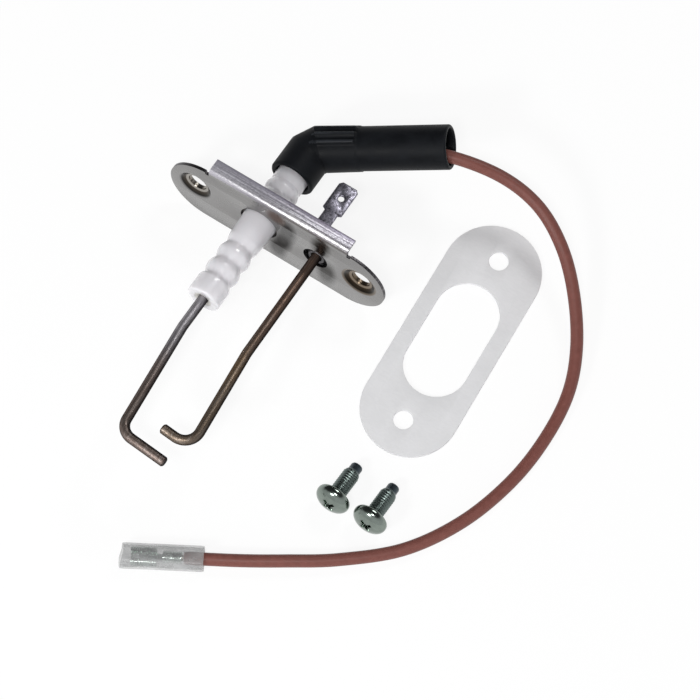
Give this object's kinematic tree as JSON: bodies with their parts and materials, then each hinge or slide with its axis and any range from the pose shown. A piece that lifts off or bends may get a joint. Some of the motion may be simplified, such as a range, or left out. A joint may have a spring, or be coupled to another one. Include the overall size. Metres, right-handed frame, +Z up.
{
  "type": "ignition electrode",
  "caption": "Burner ignition electrode: flanged plate with white ribbed ceramic, spark rod, earth rod and spade tab, rubber elbow boot with silicone lead, loose gasket and screws.",
  "frame": {"origin": "on the floor under the middle of the laid-out kit, the lead and its far end left out", "axes": "+Z up from the floor the kit lies on, +X to the right and +Y away in the picture; the ceramic's nose points toward -X and -Y"},
  "size_m": [0.1297, 0.13, 0.027],
  "materials": {
    "satin_steel": "satin",
    "spring_steel": "satin",
    "glazed_ceramic": "glossy",
    "cement": "matt",
    "sealing_fibre": "matt",
    "heat_wire_grey": "heat tinted",
    "heat_wire_brown": "heat tinted",
    "tinned_steel": "tinned",
    "plated_brass": "plated",
    "black_rubber": "matt",
    "brown_silicone": "satin",
    "tinned_copper": "tinned",
    "clear_sleeve": "translucent",
    "white_fibre": "matt",
    "zinc_plate": "zinc plated"
  },
  "bodies": {
    "electrode": {"flange_plate": "satin_steel", "ceramic_insulator": "glazed_ceramic", "cement_front": "cement", "cement_rear": "cement", "sealing_washer": "sealing_fibre", "retaining_bridge": "spring_steel", "spark_rod": "heat_wire_grey", "terminal_stud": "tinned_steel", "earth_rod": "heat_wire_brown", "earth_bush": "spring_steel", "earth_tab": "tinned_steel", "lead": "brown_silicone", "lead_core_far": "tinned_copper", "receptacle": "tinned_steel"},
    "boot": {"boot": "black_rubber", "snap_terminal": "plated_brass", "snap_ring": "spring_steel", "lead_core_boot": "tinned_copper"},
    "sleeve": {"clear_sleeve": "clear_sleeve"},
    "gasket": {"gasket": "white_fibre"},
    "screw_1": {"screw_1": "zinc_plate"},
    "screw_2": {"screw_2": "zinc_plate"}
  },
  "joints": [
    {"name": "boot_pull", "type": "slide", "parent": "electrode", "child": "boot", "axis": [0.5277, 0.838, -0.1392], "range_m": [0, 0.014], "deforming": ["lead"]},
    {"name": "sleeve_slide", "type": "slide", "parent": "electrode", "child": "sleeve", "axis": [0.9989, -0.0466, 0], "range_m": [0, 0.02]},
    {"name": "gasket_lift", "type": "slide", "parent": "electrode", "child": "gasket", "axis": [0, 0, 1], "range_m": [0, 0.03]},
    {"name": "screw_1_lift", "type": "slide", "parent": "electrode", "child": "screw_1", "axis": [0, 0, 1], "range_m": [0, 0.03]},
    {"name": "screw_2_lift", "type": "slide", "parent": "electrode", "child": "screw_2", "axis": [0, 0, 1], "range_m": [0, 0.03]}
  ]
}
